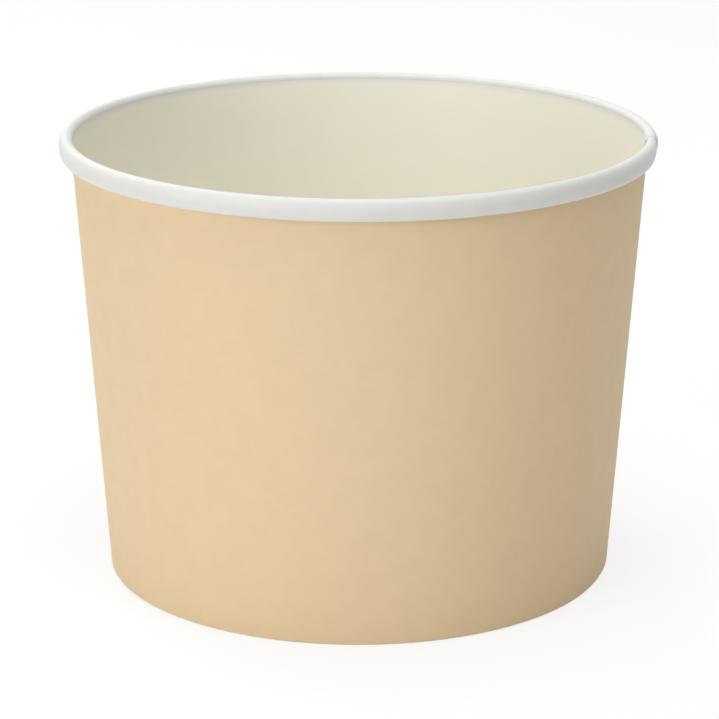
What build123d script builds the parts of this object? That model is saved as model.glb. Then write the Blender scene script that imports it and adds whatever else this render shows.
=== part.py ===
"""Paper ice cream tub, made of two pieces of coated board.

The sidewall is one sheet: a cone lapped down one side, rolled outward into a bead at the rim and
turned in and up into a hem at the foot. The base disc is drawn into a shallow upside-down tray, and
its skirt is clasped between the wall and the hem. Millimetres, +Z up, origin at the centre of the
foot, with the side seam on +X.

A layer is a distance square to the sheet, from the wall's liner face (0) out to its printed face
(the board's thickness). Negative layers lie further in, where the skirt and the hem are.
"""

from build123d import *
from math import acos, atan2, cos, degrees, hypot, radians, sin, tan
import os

os.makedirs("parts", exist_ok=True)

# Overall sizes
height = 73.0
rim_diameter = 97.0  # over the rolled bead
foot_diameter = 83.3  # printed face of the wall, carried down to the table

# Sidewall board and its side seam
wall_board = 0.40
lap_width = 8.0  # measured round the rim
lap_step = 0.22  # how far the pressed lap stands out from the single board
ramp_length = 12.0  # the sheet climbs onto its own edge over this length
ramp_steps = 6

# Rim bead: radii of its visible face, which is the liner face
bead_core_radius = 0.10  # what the board leaves open in its tightest bend
bead_flank_radius = 2.80
bead_flank_turn = 50.0  # degrees
bead_tuck = 0.70  # straight end of the board, inside the bead
tuck_clearance = 0.02  # least room between the tucked end and the lap

# Base disc
base_board = 0.35
recess_depth = 7.0  # table to the underside of the disc
base_corner_radius = 0.60
skirt_clearance = 0.10  # skirt's cut edge to the bottom of the fold

# Hem at the foot
fold_radius = 0.06  # liner face, inside the crease
seal_gap = 0.02  # coating between sealed faces
hem_clearance = 0.90  # hem's cut edge to the disc's corner

rim_radius = rim_diameter / 2
foot_radius = foot_diameter / 2
lap_board = wall_board + lap_step
half_turn = bead_flank_turn / 2
bead_bottom_radius = bead_core_radius + lap_board
bead_top_radius = bead_bottom_radius + (lap_board + tuck_clearance) / (1 + cos(radians(half_turn)))
hem_height = recess_depth - base_corner_radius - hem_clearance
fold_room = base_board + 2 * seal_gap

# The wall leans so that it starts at the foot and the bead ends at the rim
bead_reach = bead_flank_radius - (bead_flank_radius - bead_top_radius) * cos(radians(half_turn))
wall_rise = height - bead_top_radius
wall_run = rim_radius - foot_radius - bead_reach
lean = degrees(
    acos((bead_top_radius - wall_board) / hypot(wall_run, wall_rise)) - atan2(wall_rise, wall_run)
)

lap_angle = degrees(lap_width / rim_radius)
ramp_angle = degrees(ramp_length / rim_radius)
lap_start = -lap_angle / 2
lap_end = lap_angle / 2
body_angle = 360 - lap_angle - ramp_angle


def wall_x(layer, z):
    """Radius of a layer of the wall, at a height."""
    return foot_radius + z * tan(radians(lean)) + (layer - wall_board) / cos(radians(lean))


def board_line(layer):
    """Draw one layer of the sidewall's sheet, and return its ends at the hem and in the bead."""
    fold_z = wall_board + fold_radius
    fold_outer_x = wall_x(-fold_radius, fold_z)
    fold_inner_x = fold_outer_x - (fold_room - 2 * fold_radius) / cos(radians(lean))
    crease_z = wall_board - layer
    crease = Line((fold_inner_x, crease_z), (fold_outer_x, crease_z))

    hem_bend = JernArc(crease @ 0, (-1, 0), fold_radius + layer, -90 - lean)
    hem_length = (hem_height - fold_z) / cos(radians(lean))
    hem = Line(hem_bend @ 1, hem_bend @ 1 + (hem_bend % 1) * hem_length)

    wall_bend = JernArc(crease @ 1, (1, 0), fold_radius + layer, 90 - lean)
    bead_centre = Vector(wall_x(bead_top_radius, wall_rise), wall_rise)
    to_wall = Vector(-1, 0).rotate(Axis.Z, -lean)
    wall = Line(wall_bend @ 1, bead_centre + to_wall * (bead_top_radius - layer))

    bead_top = JernArc(wall @ 1, wall % 1, bead_top_radius - layer, half_turn + lean - 180)
    flank = JernArc(bead_top @ 1, bead_top % 1, bead_flank_radius - layer, -bead_flank_turn)
    bead_bottom = JernArc(flank @ 1, flank % 1, bead_bottom_radius - layer, half_turn - lean - 180)
    tuck = Line(bead_bottom @ 1, bead_bottom @ 1 + (bead_bottom % 1) * bead_tuck)
    return hem @ 1, tuck @ 1


def board_section(angle, inner_layer, outer_layer):
    """Face of the sheet between two layers, on the half plane at an angle round the tub."""
    with BuildSketch(Plane.XZ.rotated((0, 0, angle))) as section:
        with BuildLine():
            inner_ends = board_line(inner_layer)
            outer_ends = board_line(outer_layer)
            for inner_end, outer_end in zip(inner_ends, outer_ends):
                Line(inner_end, outer_end)
        make_face()
    return section.sketch


# Sidewall: the lap's double sheet, the single sheet round the tub, and the ramp that climbs onto the lap
with BuildPart() as sidewall:
    revolve(board_section(lap_start, 0, lap_board), Axis.Z, lap_angle)
    revolve(board_section(lap_end, 0, wall_board), Axis.Z, body_angle)
    ramp_sections = []
    for step in range(ramp_steps + 1):
        share = step / ramp_steps
        climb = lap_step * share
        ramp_face = board_section(lap_start - ramp_angle * (1 - share), climb, wall_board + climb)
        ramp_sections.append(ramp_face)
    loft(ramp_sections)
    # The lap is pressed flat where the tub stands
    split(bisect_by=Plane.XY, keep=Keep.TOP)
sidewall.part.label = "sidewall"
export_step(sidewall.part, "parts/sidewall.step")


def disc_line(depth):
    """Draw the disc's face at a depth under its top face, and return its ends."""
    outer_radius = base_corner_radius + base_board
    corner_z = recess_depth - base_corner_radius
    corner_x = wall_x(-seal_gap - outer_radius, corner_z)
    face_z = recess_depth + base_board - depth
    face = Line((0, face_z), (corner_x, face_z))
    corner = JernArc(face @ 1, (1, 0), outer_radius - depth, -90 - lean)
    skirt_top_z = corner_z - outer_radius * sin(radians(lean))
    skirt_length = (skirt_top_z - wall_board - skirt_clearance) / cos(radians(lean))
    skirt = Line(corner @ 1, corner @ 1 + (corner % 1) * skirt_length)
    return face @ 0, skirt @ 1


# Base disc: a flat disc with a rounded corner and a skirt that lies along the wall
with BuildPart() as base_disc:
    with BuildSketch(Plane.XZ):
        with BuildLine():
            top_ends = disc_line(0)
            under_ends = disc_line(base_board)
            for top_end, under_end in zip(top_ends, under_ends):
                Line(top_end, under_end)
        make_face()
    revolve(axis=Axis.Z)
base_disc.part.label = "base_disc"
export_step(base_disc.part, "parts/base_disc.step")

for piece in (sidewall.part, base_disc.part):
    size = piece.bounding_box().size
    print(f"{piece.label}: {piece.volume:.1f} mm3, {size.X:.2f} x {size.Y:.2f} x {size.Z:.2f} mm")
print(f"wall leans {lean:.3f} degrees, bead starts {bead_top_radius:.3f} mm under the rim's top")
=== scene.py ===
"""Looks of the paper ice cream tub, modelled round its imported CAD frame.

The sidewall is built as the real sheet: one printed blank that laps over itself at the side seam, rolls
outward into the rim bead and turns in and up into the hem. The base disc is a drawn tray of thinner
board. Sizes of the sheet are in millimetres, everything in Blender is in metres.
"""

import math

import bpy
import numpy as np
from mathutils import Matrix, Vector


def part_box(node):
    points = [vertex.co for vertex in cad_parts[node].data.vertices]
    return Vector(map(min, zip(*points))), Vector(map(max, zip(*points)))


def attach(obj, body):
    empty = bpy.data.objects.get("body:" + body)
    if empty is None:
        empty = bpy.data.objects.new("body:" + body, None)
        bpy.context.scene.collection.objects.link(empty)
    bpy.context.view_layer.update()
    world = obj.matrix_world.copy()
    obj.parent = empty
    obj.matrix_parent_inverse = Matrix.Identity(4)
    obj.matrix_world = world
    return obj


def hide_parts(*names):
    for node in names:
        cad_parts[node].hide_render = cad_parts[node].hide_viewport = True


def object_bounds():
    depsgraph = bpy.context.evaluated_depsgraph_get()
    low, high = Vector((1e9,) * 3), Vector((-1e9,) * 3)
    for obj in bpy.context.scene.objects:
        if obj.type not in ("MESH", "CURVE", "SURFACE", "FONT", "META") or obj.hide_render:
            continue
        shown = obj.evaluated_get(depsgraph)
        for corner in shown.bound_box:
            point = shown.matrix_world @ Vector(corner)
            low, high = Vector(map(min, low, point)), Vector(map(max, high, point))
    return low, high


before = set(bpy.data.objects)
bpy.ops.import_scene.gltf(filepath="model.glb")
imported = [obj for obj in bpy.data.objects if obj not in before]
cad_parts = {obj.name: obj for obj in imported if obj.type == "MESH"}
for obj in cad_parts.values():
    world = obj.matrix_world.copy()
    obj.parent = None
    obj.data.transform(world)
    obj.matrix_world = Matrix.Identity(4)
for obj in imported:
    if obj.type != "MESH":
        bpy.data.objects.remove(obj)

CAD_LOW, CAD_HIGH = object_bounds()
MM = 0.001

# Sizes from the frame
HEIGHT = CAD_HIGH.z / MM
RIM_RADIUS = 48.5
BASE_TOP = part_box("base_disc")[1].z / MM

# Sidewall
FOOT_RADIUS = 41.65
WALL_BOARD = 0.40
LAP_WIDTH = 8.0
LAP_STEP = 0.22
RAMP_LENGTH = 12.0
RELEASE_LENGTH = 2.0
PRESS_GAP = 0.01
BEAD_CORE_RADIUS = 0.10
BEAD_FLANK_RADIUS = 2.80
BEAD_HALF_TURN = math.radians(25)
BEAD_TUCK = 0.70
TUCK_CLEARANCE = 0.02
FOLD_RADIUS = 0.06
HEM_CLEARANCE = 0.90

# Base disc
BASE_BOARD = 0.35
SEAL_GAP = 0.02
BASE_CORNER_RADIUS = 0.60
SKIRT_CLEARANCE = 0.10
BASE_SAG = 0.30

# Marks that the machine leaves
KNURL_COUNT = 116
KNURL_DEPTH = 0.07
KNURL_START = 1.0
KNURL_TOP_GAP = 0.4
KNURL_FADE = 0.8
PUCKER_COUNT = 58
PUCKER_DEPTH = 0.03
PUCKER_FADE = 1.0
EDGE_PRESS = 0.26

# How far a real tub is from round, as shares of its radius, and how far its rim dips
OVAL = 0.0012
THREE_LOBED = 0.0004
DRAWN_IN = 0.0008
RIM_DIP = 0.05

# Mesh
SHEET_SECTIONS = 601
DISC_SECTIONS = 360
EDGE_SECTIONS = np.radians([0.05, 0.15, 0.3, 0.5])
LEAST_TURN = 1e-4
DISC_FIRST_RING = 0.5
SHARP_TURN = math.radians(48)

# Worked out as in the CAD model
LAP_BOARD = WALL_BOARD + LAP_STEP
BEAD_BOTTOM_RADIUS = BEAD_CORE_RADIUS + LAP_BOARD
BEAD_TOP_RADIUS = BEAD_BOTTOM_RADIUS + (LAP_BOARD + TUCK_CLEARANCE) / (1 + math.cos(BEAD_HALF_TURN))
RECESS_DEPTH = BASE_TOP - BASE_BOARD
HEM_HEIGHT = RECESS_DEPTH - BASE_CORNER_RADIUS - HEM_CLEARANCE
FOLD_ROOM = BASE_BOARD + 2 * SEAL_GAP
BEAD_REACH = BEAD_FLANK_RADIUS - (BEAD_FLANK_RADIUS - BEAD_TOP_RADIUS) * math.cos(BEAD_HALF_TURN)
WALL_RISE = HEIGHT - BEAD_TOP_RADIUS
WALL_RUN = RIM_RADIUS - FOOT_RADIUS - BEAD_REACH
LEAN = math.acos((BEAD_TOP_RADIUS - WALL_BOARD) / math.hypot(WALL_RUN, WALL_RISE)) - math.atan2(
    WALL_RISE, WALL_RUN
)
LAP_HALF = LAP_WIDTH / RIM_RADIUS / 2
RAMP_TURN = RAMP_LENGTH / RIM_RADIUS
RELEASE_TURN = RELEASE_LENGTH / RIM_RADIUS
UP_THE_WALL = np.array([math.sin(LEAN), math.cos(LEAN)])
OUT_OF_WALL = np.array([math.cos(LEAN), -math.sin(LEAN)])

# Parts of the sheet, in order from the hem's cut edge to the bead's tucked edge
HEM, FOLD, WALL, BEAD = range(4)


def wall_x(layer, z):
    """Radius of a layer of the wall at a height; layer 0 is the liner face."""
    return FOOT_RADIUS + z * math.tan(LEAN) + (layer - WALL_BOARD) / math.cos(LEAN)


def smooth(t):
    """Ease from 0 to 1."""
    t = np.clip(t, 0.0, 1.0)
    return t * t * (3 - 2 * t)


class Path:
    """A line in the half plane, with the direction in which the sheet's layers lie at each point."""

    def __init__(self):
        self.points, self.normals, self.parts = [], [], []

    def add(self, points, normals, part):
        start = 1 if self.points else 0
        for point, normal in list(zip(points, normals))[start:]:
            self.points.append(point)
            self.normals.append(normal)
            self.parts.append(part)

    def line(self, start, end, normal, steps, part):
        share = np.linspace(0, 1, steps + 1)[:, None]
        self.add(np.array(start) + share * (np.array(end) - np.array(start)), [normal] * (steps + 1), part)

    def arc(self, centre, radius, start, end, side, steps, part):
        turn = np.linspace(start, end, steps + 1)
        rays = np.stack([np.cos(turn), np.sin(turn)], axis=1)
        self.add(np.array(centre) + radius * rays, side * rays, part)

    def arrays(self):
        return np.array(self.points), np.array(self.normals), np.array(self.parts)


def sheet_path():
    """The sidewall's liner face, from the top of the hem, round the fold, up the wall and round the bead."""
    fold_z = WALL_BOARD + FOLD_RADIUS
    fold_outer = np.array([wall_x(-FOLD_RADIUS, fold_z), fold_z])
    fold_inner = fold_outer - np.array([(FOLD_ROOM - 2 * FOLD_RADIUS) / math.cos(LEAN), 0])
    down = -math.pi / 2
    hem_end = fold_inner - FOLD_RADIUS * OUT_OF_WALL
    hem_start = hem_end + (HEM_HEIGHT - fold_z) / math.cos(LEAN) * UP_THE_WALL
    bead_centre = np.array([wall_x(BEAD_TOP_RADIUS, WALL_RISE), WALL_RISE])
    flank_out = np.array([math.cos(BEAD_HALF_TURN), math.sin(BEAD_HALF_TURN)])
    flank_centre = bead_centre - (BEAD_FLANK_RADIUS - BEAD_TOP_RADIUS) * flank_out
    bottom_centre = flank_centre + (BEAD_FLANK_RADIUS - BEAD_BOTTOM_RADIUS) * flank_out * [1, -1]
    tuck_start = bottom_centre - BEAD_BOTTOM_RADIUS * OUT_OF_WALL

    path = Path()
    path.line(hem_start, hem_end, -OUT_OF_WALL, 6, HEM)
    path.arc(fold_inner, FOLD_RADIUS, -math.pi - LEAN, down, 1, 5, FOLD)
    path.line(fold_inner - [0, FOLD_RADIUS], fold_outer - [0, FOLD_RADIUS], np.array([0, -1]), 1, FOLD)
    path.arc(fold_outer, FOLD_RADIUS, down, -LEAN, 1, 5, FOLD)
    wall_foot = fold_outer + FOLD_RADIUS * OUT_OF_WALL
    path.line(wall_foot, bead_centre - BEAD_TOP_RADIUS * OUT_OF_WALL, OUT_OF_WALL, 12, WALL)
    path.arc(bead_centre, BEAD_TOP_RADIUS, math.pi - LEAN, BEAD_HALF_TURN, -1, 14, BEAD)
    path.arc(flank_centre, BEAD_FLANK_RADIUS, BEAD_HALF_TURN, -BEAD_HALF_TURN, -1, 6, BEAD)
    path.arc(bottom_centre, BEAD_BOTTOM_RADIUS, -BEAD_HALF_TURN, -math.pi - LEAN, -1, 10, BEAD)
    path.line(tuck_start, tuck_start + BEAD_TUCK * UP_THE_WALL, OUT_OF_WALL, 2, BEAD)
    return path.arrays()


def settle(points):
    """The small out-of-roundness of a real tub, the same for both pieces, growing towards the rim."""
    x, y, z = points[..., 0], points[..., 1], points[..., 2]
    angle = np.arctan2(y, x)
    rise = np.clip(z / HEIGHT, 0, 1)
    lobes = OVAL * np.cos(2 * angle + 0.9) + THREE_LOBED * np.cos(3 * angle - 0.4)
    stretch = 1 + rise**1.5 * lobes - DRAWN_IN
    lift = rise**4 * (RIM_DIP * np.cos(2 * angle - 0.5) - RIM_DIP)
    return np.stack([x * stretch, y * stretch, z + lift], axis=-1)


def turn_points(plane_points, angles):
    """Turn rows of (radius, height) points to their angles round the tub."""
    radius, z = plane_points[..., 0], plane_points[..., 1]
    turn = np.asarray(angles)[:, None]
    return np.stack([radius * np.cos(turn), radius * np.sin(turn), z], axis=-1)


def sheet_angles():
    """Angles of the sections, from the inner free edge once round to the outer free edge, finer at steps."""
    start, end = -LAP_HALF, 2 * math.pi + LAP_HALF
    angles = list(np.linspace(start, end, SHEET_SECTIONS))
    for edge in (start, LAP_HALF, 2 * math.pi - LAP_HALF, end):
        angles += [edge + side * step for side in (-1, 1) for step in EDGE_SECTIONS]
    angles = sorted(angle for angle in angles if start <= angle <= end)
    return np.array([a for a, b in zip(angles, angles[1:] + [math.inf]) if b - a > LEAST_TURN])


def sheet_layers(angles, parts, points):
    """How far the liner and printed faces lie from the path, for each section and each path point."""
    pressed = LAP_BOARD / 2
    past_lap = smooth((angles - LAP_HALF) / RELEASE_TURN)
    climb = smooth((angles - (2 * math.pi - LAP_HALF - RAMP_TURN)) / RAMP_TURN)
    liner = climb * (pressed + PRESS_GAP)
    printed = pressed + past_lap * (WALL_BOARD - pressed) + climb * LAP_STEP
    liner = np.repeat(liner[:, None], len(parts), axis=1)
    printed = np.repeat(printed[:, None], len(parts), axis=1)
    # The rim's rolling die presses the inner free edge thin on the bead
    thin = EDGE_PRESS * (1 - smooth((angles + LAP_HALF) / RELEASE_TURN))
    liner = liner + thin[:, None] * (parts == BEAD)[None, :]
    # The knurling wheel presses the hem's printed face into short upright grooves
    band = smooth((points[:, 1] - KNURL_START) / KNURL_FADE)
    band = band * smooth((HEM_HEIGHT - KNURL_TOP_GAP - points[:, 1]) / KNURL_FADE)
    band = band * (parts == HEM)
    groove = 0.5 - 0.5 * np.cos(KNURL_COUNT * angles)
    printed = printed - KNURL_DEPTH * groove[:, None] * band[None, :]
    return liner, printed


def make_object(name, points, faces, slots, materials):
    """A mesh object with its materials, its cut edges sharp and the rest shaded smooth."""
    mesh = bpy.data.meshes.new(name)
    mesh.from_pydata(points.tolist(), [], faces)
    for material in materials:
        mesh.materials.append(material)
    mesh.polygons.foreach_set("material_index", slots.astype("int32"))
    mesh.polygons.foreach_set("use_smooth", np.ones(len(faces), dtype=bool))
    mesh.set_sharp_from_angle(angle=SHARP_TURN)
    mesh.validate()
    piece = bpy.data.objects.new(name, mesh)
    bpy.context.scene.collection.objects.link(piece)
    return piece


def make_sidewall(printed_board, liner_board, bead_board, cut_board):
    """The wrapped sheet, as one closed mesh with its true thickness."""
    points, normals, parts = sheet_path()
    angles = sheet_angles()
    liner, printed = sheet_layers(angles, parts, points)
    inner = points[None] + liner[..., None] * normals[None]
    outer = points[None] + printed[..., None] * normals[None]
    outer[..., 1] = np.maximum(outer[..., 1], 0)  # the lap is pressed flat where the tub stands
    vertices = np.concatenate([turn_points(inner, angles), turn_points(outer, angles)], axis=1)
    vertices = settle(vertices).reshape(-1, 3) * MM

    rows, columns = len(angles), len(parts)
    index = np.arange(rows * 2 * columns).reshape(rows, 2 * columns)
    inner_index, outer_index = index[:, :columns], index[:, columns:]

    def strip(grid):
        return np.stack([grid[:-1, :-1], grid[:-1, 1:], grid[1:, 1:], grid[1:, :-1]], axis=-1).reshape(-1, 4)

    liner_slots = np.where(parts[1:] == BEAD, 2, 1)
    groups = [
        (strip(inner_index), np.tile(liner_slots, rows - 1)),
        (strip(outer_index)[:, ::-1], 0),
        (strip(index[:, [columns, 0]]), 3),
        (strip(index[:, [columns - 1, 2 * columns - 1]]), 3),
        (strip(np.stack([outer_index[0], inner_index[0]])), 3),
        (strip(np.stack([inner_index[-1], outer_index[-1]])), 3),
    ]
    faces = np.concatenate([group for group, _ in groups])
    slots = np.concatenate([np.broadcast_to(slot, len(group)) for group, slot in groups])
    materials = [printed_board, liner_board, bead_board, cut_board]
    return make_object("sidewall_sheet", vertices, faces.tolist(), slots, materials)


def disc_path():
    """The base disc's top face, from near the axis out, round the corner and down the skirt."""
    outer_radius = BASE_CORNER_RADIUS + BASE_BOARD
    corner_z = RECESS_DEPTH - BASE_CORNER_RADIUS
    corner = np.array([wall_x(-SEAL_GAP - outer_radius, corner_z), corner_z])
    skirt_top = corner + outer_radius * OUT_OF_WALL
    skirt_length = (skirt_top[1] - WALL_BOARD - SKIRT_CLEARANCE) / math.cos(LEAN)
    path = Path()
    path.line([DISC_FIRST_RING, BASE_TOP], corner + [0, outer_radius], np.array([0, -1]), 24, WALL)
    path.arc(corner, outer_radius, math.pi / 2, -LEAN, -1, 8, FOLD)
    path.line(skirt_top, skirt_top - skirt_length * UP_THE_WALL, -OUT_OF_WALL, 5, HEM)
    return path.arrays()


def make_base_disc(base_liner, base_raw, cut_board):
    """The drawn disc, as one closed mesh that sags a little and puckers where its skirt is drawn."""
    points, normals, parts = disc_path()
    angles = np.linspace(0, 2 * math.pi, DISC_SECTIONS + 1)[:-1]
    top = np.repeat(points[None], len(angles), axis=0)
    sag = BASE_SAG * (1 - smooth(top[..., 0] / (0.9 * FOOT_RADIUS))) * (parts == WALL)
    top[..., 1] -= sag
    pucker = PUCKER_DEPTH * (0.5 + 0.5 * np.cos(PUCKER_COUNT * angles))
    drawn = np.where(parts == WALL, 0, 1) * smooth((BASE_TOP - points[:, 1]) / PUCKER_FADE)
    top = top + (pucker[:, None] * drawn[None])[..., None] * normals[None]
    under = top + BASE_BOARD * normals[None]
    top_ring, under_ring = turn_points(top, angles), turn_points(under, angles)
    poles = np.array([[0, 0, top[0, 0, 1]], [0, 0, under[0, 0, 1]]])
    vertices = np.concatenate([top_ring, under_ring], axis=1).reshape(-1, 3)
    vertices = settle(np.concatenate([vertices, poles])) * MM

    rows, columns = len(angles), len(parts)
    index = np.arange(rows * 2 * columns).reshape(rows, 2 * columns)
    after = np.roll(index, -1, axis=0)
    top_pole, under_pole = rows * 2 * columns, rows * 2 * columns + 1

    def band(first, second):
        return np.stack([index[:, first], after[:, first], after[:, second], index[:, second]], axis=-1)

    groups = []
    for column in range(columns - 1):
        groups.append((band(column + 1, column), 0))
        groups.append((band(columns + column, columns + column + 1), 1))
    groups.append((band(2 * columns - 1, columns - 1), 2))
    faces = [face for group, _ in groups for face in group.tolist()]
    slots = [slot for group, slot in groups for _ in group]
    for row in range(rows):
        faces.append([int(index[row, 0]), int(after[row, 0]), top_pole])
        slots.append(0)
        faces.append([int(after[row, columns]), int(index[row, columns]), under_pole])
        slots.append(1)
    return make_object("base_tray", vertices, faces, np.array(slots), [base_liner, base_raw, cut_board])


def srgb(red, green, blue):
    """Linear colour from sRGB values of 0 to 255."""
    values = np.array([red, green, blue]) / 255
    linear = np.where(values <= 0.04045, values / 12.92, ((values + 0.055) / 1.055) ** 2.4)
    return (*[float(value) for value in linear], 1.0)


class Nodes:
    """Short calls to build a material's node tree."""

    def __init__(self, name):
        self.material = bpy.data.materials.new(name)
        self.material.use_nodes = True
        self.tree = self.material.node_tree
        self.shader = self.tree.nodes["Principled BSDF"]
        self.place = self.tree.nodes.new("ShaderNodeTexCoord").outputs["Object"]

    def link(self, output, target):
        self.tree.links.new(output, target)

    def stretched(self, scale):
        node = self.tree.nodes.new("ShaderNodeMapping")
        node.inputs["Scale"].default_value = scale
        self.link(self.place, node.inputs["Vector"])
        return node.outputs["Vector"]

    def noise(self, size_mm, detail=3.0, roughness=0.5, stretch=(1, 1, 1), distortion=0.0):
        node = self.tree.nodes.new("ShaderNodeTexNoise")
        node.inputs["Scale"].default_value = 1 / (size_mm * MM)
        node.inputs["Detail"].default_value = detail
        node.inputs["Roughness"].default_value = roughness
        node.inputs["Distortion"].default_value = distortion
        self.link(self.stretched(stretch), node.inputs["Vector"])
        return node.outputs["Fac"]

    def ramp(self, value, low, high, out_low=0.0, out_high=1.0):
        node = self.tree.nodes.new("ShaderNodeMapRange")
        node.interpolation_type = "SMOOTHSTEP"
        for name, number in zip(("From Min", "From Max", "To Min", "To Max"), (low, high, out_low, out_high)):
            node.inputs[name].default_value = number
        self.link(value, node.inputs["Value"])
        return node.outputs["Result"]

    def mix(self, share, first, second):
        node = self.tree.nodes.new("ShaderNodeMix")
        node.data_type = "RGBA"
        self.link(share, node.inputs["Factor"])
        for socket, colour in ((node.inputs["A"], first), (node.inputs["B"], second)):
            if isinstance(colour, tuple):
                socket.default_value = colour
            else:
                self.link(colour, socket)
        return node.outputs["Result"]

    def height_mm(self):
        """Height above the table, in millimetres."""
        split = self.tree.nodes.new("ShaderNodeSeparateXYZ")
        self.link(self.place, split.inputs["Vector"])
        return self.math("MULTIPLY", split.outputs["Z"], 1 / MM)

    def math(self, operation, first, second):
        node = self.tree.nodes.new("ShaderNodeMath")
        node.operation = operation
        for socket, value in zip(node.inputs, (first, second)):
            if isinstance(value, (int, float)):
                socket.default_value = value
            else:
                self.link(value, socket)
        return node.outputs["Value"]

    def bump(self, height, depth_mm, strength, under=None):
        node = self.tree.nodes.new("ShaderNodeBump")
        node.inputs["Strength"].default_value = strength
        node.inputs["Distance"].default_value = depth_mm * MM
        self.link(height, node.inputs["Height"])
        if under is not None:
            self.link(under, node.inputs["Normal"])
        return node.outputs["Normal"]

    def finish(self, colour, roughness, normal, specular):
        self.link(colour, self.shader.inputs["Base Color"])
        self.link(roughness, self.shader.inputs["Roughness"])
        self.link(normal, self.shader.inputs["Normal"])
        self.shader.inputs["Specular IOR Level"].default_value = specular
        return self.material


def paper_surface(nodes, fibre_depth, cloud_depth):
    """Bump of a coated board: soft clouds of formation, with fine fibres over them."""
    clouds = nodes.bump(nodes.noise(2.2, detail=2.0), cloud_depth, 1.0)
    fibres = nodes.noise(0.28, detail=4.0, roughness=0.62, distortion=0.6)
    return nodes.bump(fibres, fibre_depth, 1.0, under=clouds)


def printed_board():
    """Matte printed face: a flat peach tint over board, with faint mottle and specks."""
    nodes = Nodes("printed_board")
    mottle = nodes.ramp(nodes.noise(3.0, detail=5.0, roughness=0.6), 0.35, 0.65)
    colour = nodes.mix(mottle, srgb(218, 194, 156), srgb(220, 196, 158))
    specks = nodes.ramp(nodes.noise(0.35, detail=2.0), 0.66, 0.80, 0.0, 0.35)
    colour = nodes.mix(specks, colour, srgb(209, 184, 145))
    roughness = nodes.ramp(nodes.noise(1.1, detail=3.0), 0.3, 0.7, 0.58, 0.68)
    return nodes.finish(colour, roughness, paper_surface(nodes, 0.004, 0.003), specular=0.35)


def liner_board():
    """Coated inside of the wall: its cream is partly the coating's own tint and partly painted warm light
    that comes through the thin peach-printed board. In the last millimetre under the bead it turns paler and
    greyer, towards the bead's neutral grey, which is partly painted shade.
    """
    nodes = Nodes("liner_board")
    # The cream here is partly the coating's own tint and partly painted warm light shining through the
    # peach-printed board
    mottle = nodes.ramp(nodes.noise(4.0, detail=5.0, roughness=0.6), 0.35, 0.65)
    colour = nodes.mix(mottle, srgb(240, 237, 223), srgb(241, 238, 225))
    # Painted shade in part: the top of the liner fades towards the bead's neutral grey, which is set darker
    # to make up for the top light
    edge = nodes.ramp(nodes.height_mm(), HEIGHT - 2.2, HEIGHT - BEAD_TOP_RADIUS)
    colour = nodes.mix(edge, colour, srgb(229, 229, 225))
    roughness = nodes.ramp(nodes.noise(1.4, detail=3.0), 0.3, 0.7, 0.46, 0.56)
    return nodes.finish(colour, roughness, paper_surface(nodes, 0.003, 0.004), specular=0.4)


def bead_board():
    """The rolled rim: the same coated side of the sheet, stretched white and a little crinkled. Its grey is
    darker than the liner's: partly painted shade that makes up for the top light the bead catches.
    """
    nodes = Nodes("bead_board")
    mottle = nodes.ramp(nodes.noise(2.0, detail=4.0), 0.35, 0.65)
    # Painted shade in part: this grey is set darker than the liner, the same coated face, to offset the
    # strong top light on the bead
    colour = nodes.mix(mottle, srgb(213, 213, 209), srgb(215, 215, 212))
    roughness = nodes.ramp(nodes.noise(0.9, detail=3.0), 0.3, 0.7, 0.44, 0.56)
    return nodes.finish(colour, roughness, paper_surface(nodes, 0.003, 0.004), specular=0.4)


def base_liner():
    """Coated top face of the base disc."""
    nodes = Nodes("base_liner")
    mottle = nodes.ramp(nodes.noise(5.0, detail=5.0, roughness=0.6), 0.35, 0.65)
    colour = nodes.mix(mottle, srgb(239, 236, 222), srgb(240, 237, 224))
    roughness = nodes.ramp(nodes.noise(1.4, detail=3.0), 0.3, 0.7, 0.46, 0.56)
    return nodes.finish(colour, roughness, paper_surface(nodes, 0.003, 0.006), specular=0.4)


def base_raw():
    """Uncoated underside of the base disc, greyer and rougher, with visible fibres."""
    nodes = Nodes("base_raw")
    mottle = nodes.ramp(nodes.noise(1.6, detail=6.0, roughness=0.65), 0.3, 0.7)
    colour = nodes.mix(mottle, srgb(224, 219, 206), srgb(232, 228, 217))
    fibres = nodes.ramp(nodes.noise(0.25, detail=3.0, stretch=(1, 0.35, 1)), 0.58, 0.75, 0.0, 0.5)
    colour = nodes.mix(fibres, colour, srgb(208, 200, 182))
    roughness = nodes.ramp(nodes.noise(0.8, detail=3.0), 0.3, 0.7, 0.80, 0.92)
    return nodes.finish(colour, roughness, paper_surface(nodes, 0.012, 0.016), specular=0.25)


def cut_board():
    """Bare board where the blank was cut."""
    nodes = Nodes("cut_board")
    streaks = nodes.ramp(nodes.noise(0.12, detail=4.0, stretch=(1, 1, 0.3)), 0.3, 0.7)
    colour = nodes.mix(streaks, srgb(206, 200, 186), srgb(222, 219, 209))
    roughness = nodes.ramp(nodes.noise(0.3, detail=2.0), 0.3, 0.7, 0.86, 0.95)
    return nodes.finish(colour, roughness, paper_surface(nodes, 0.02, 0.0), specular=0.2)


def seen_share(tree):
    """1 for what the camera sees straight, in a gloss or through a clear thing, and 0 for the light."""
    path = tree.nodes.new("ShaderNodeLightPath")
    share = path.outputs["Is Camera Ray"]
    for name in ("Is Glossy Ray", "Is Transmission Ray"):
        most = tree.nodes.new("ShaderNodeMath")
        most.operation = "MAXIMUM"
        tree.links.new(share, most.inputs[0])
        tree.links.new(path.outputs[name], most.inputs[1])
        share = most.outputs["Value"]
    return share


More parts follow.
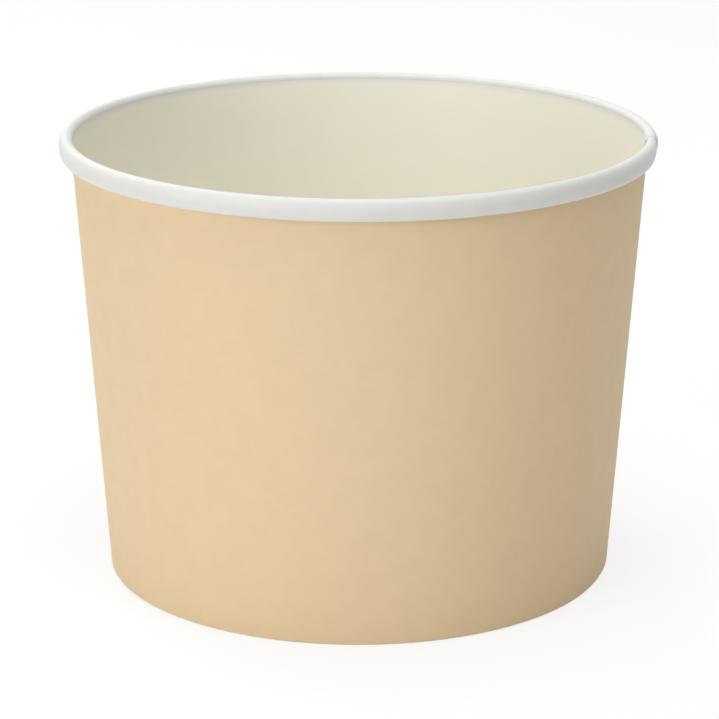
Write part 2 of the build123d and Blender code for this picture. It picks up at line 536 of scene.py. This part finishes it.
def show_white(nodes, whiteness):
    """Blend plain white over a material where it is seen, so that its light and shadow stay underneath."""
    white = nodes.tree.nodes.new("ShaderNodeEmission")
    white.inputs["Strength"].default_value = 1.0
    mix = nodes.tree.nodes.new("ShaderNodeMixShader")
    nodes.link(nodes.math("MULTIPLY", seen_share(nodes.tree), whiteness), mix.inputs[0])
    nodes.link(nodes.shader.outputs["BSDF"], mix.inputs[1])
    nodes.link(white.outputs["Emission"], mix.inputs[2])
    nodes.link(mix.outputs["Shader"], nodes.tree.nodes["Material Output"].inputs["Surface"])


def make_floor():
    """A large pale floor that keeps the tub's shadow and shows almost white."""
    bpy.ops.mesh.primitive_plane_add(size=8.0, location=(0, 0, -0.00005))
    floor = bpy.context.object
    floor.name = "floor"
    nodes = Nodes("floor")
    wash = nodes.ramp(nodes.noise(60.0, detail=2.0), 0.3, 0.7)
    colour = nodes.mix(wash, srgb(251, 251, 251), srgb(252, 252, 252))
    roughness = nodes.ramp(nodes.noise(40.0, detail=2.0), 0.3, 0.7, 0.90, 0.95)
    nodes.finish(colour, roughness, nodes.bump(nodes.noise(30.0), 0.01, 0.2), specular=0.0)
    show_white(nodes, FLOOR_WHITENESS)
    floor.data.materials.append(nodes.material)


def make_world(strength):
    """An even pale room: grey as light, white to the camera and in reflections."""
    world = bpy.data.worlds.new("room")
    world.use_nodes = True
    nodes, links = world.node_tree.nodes, world.node_tree.links
    light = nodes["Background"]
    light.inputs["Color"].default_value = (1.0, 1.0, 1.0, 1.0)
    light.inputs["Strength"].default_value = strength
    seen = nodes.new("ShaderNodeBackground")
    seen.inputs["Color"].default_value = (1.0, 1.0, 1.0, 1.0)
    seen.inputs["Strength"].default_value = 1.0
    mix = nodes.new("ShaderNodeMixShader")
    links.new(seen_share(world.node_tree), mix.inputs[0])
    links.new(light.outputs["Background"], mix.inputs[1])
    links.new(seen.outputs["Background"], mix.inputs[2])
    links.new(mix.outputs["Shader"], nodes["World Output"].inputs["Surface"])
    bpy.context.scene.world = world


def make_lamp(name, azimuth, elevation, distance, size, power):
    """A square soft light that faces the tub. Azimuth 0 is the camera's side, positive to the right."""
    turn, rise = math.radians(azimuth), math.radians(elevation)
    back = np.array([math.sin(turn) * math.cos(rise), -math.cos(turn) * math.cos(rise), math.sin(rise)])
    light = bpy.data.lights.new(name, "AREA")
    light.shape = "SQUARE"
    light.size = size
    light.energy = power
    lamp = bpy.data.objects.new(name, light)
    lamp.location = back * distance + np.array([0, 0, HEIGHT * MM / 2])
    lamp.rotation_euler = (math.pi / 2 - rise, 0, turn)
    bpy.context.scene.collection.objects.link(lamp)


# Name, azimuth, elevation, distance, size, power
LAMPS = [
    ("key_left", -45, 15, 1.1, 0.7, 5.7),
    ("fill_right", 30, 45, 1.1, 0.7, 2.2),
    ("top", 0, 88, 1.1, 0.9, 9.4),
    ("back_left", -150, 40, 1.1, 0.7, 3.6),
]
WORLD_STRENGTH = 0.11
FLOOR_WHITENESS = 0.75


def make_lights():
    make_world(WORLD_STRENGTH)
    for lamp in LAMPS:
        make_lamp(*lamp)


def make_camera():
    """A long lens, a little above the tub, looking down at the wall's middle."""
    distance, pitch, aim = 0.490, math.radians(16.88), 0.03397
    data = bpy.data.cameras.new("camera")
    data.lens = 147.8
    data.sensor_width = 36.0
    data.shift_x = 0.0014
    data.clip_start = 0.01
    camera = bpy.data.objects.new("camera", data)
    camera.location = (0, -distance * math.cos(pitch), aim + distance * math.sin(pitch))
    camera.rotation_euler = (math.pi / 2 - pitch, 0, 0)
    bpy.context.scene.collection.objects.link(camera)
    bpy.context.scene.camera = camera


def make_tub():
    """Both pieces, each standing for its CAD node."""
    cut = cut_board()
    sidewall = make_sidewall(printed_board(), liner_board(), bead_board(), cut)
    base = make_base_disc(base_liner(), base_raw(), cut)
    for piece, node, slot in ((sidewall, "sidewall", "printed_board"), (base, "base_disc", "base_board")):
        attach(piece, "root")
        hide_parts(node)


bpy.context.scene.view_settings.view_transform = "Standard"
make_tub()
make_floor()
make_lights()
make_camera()
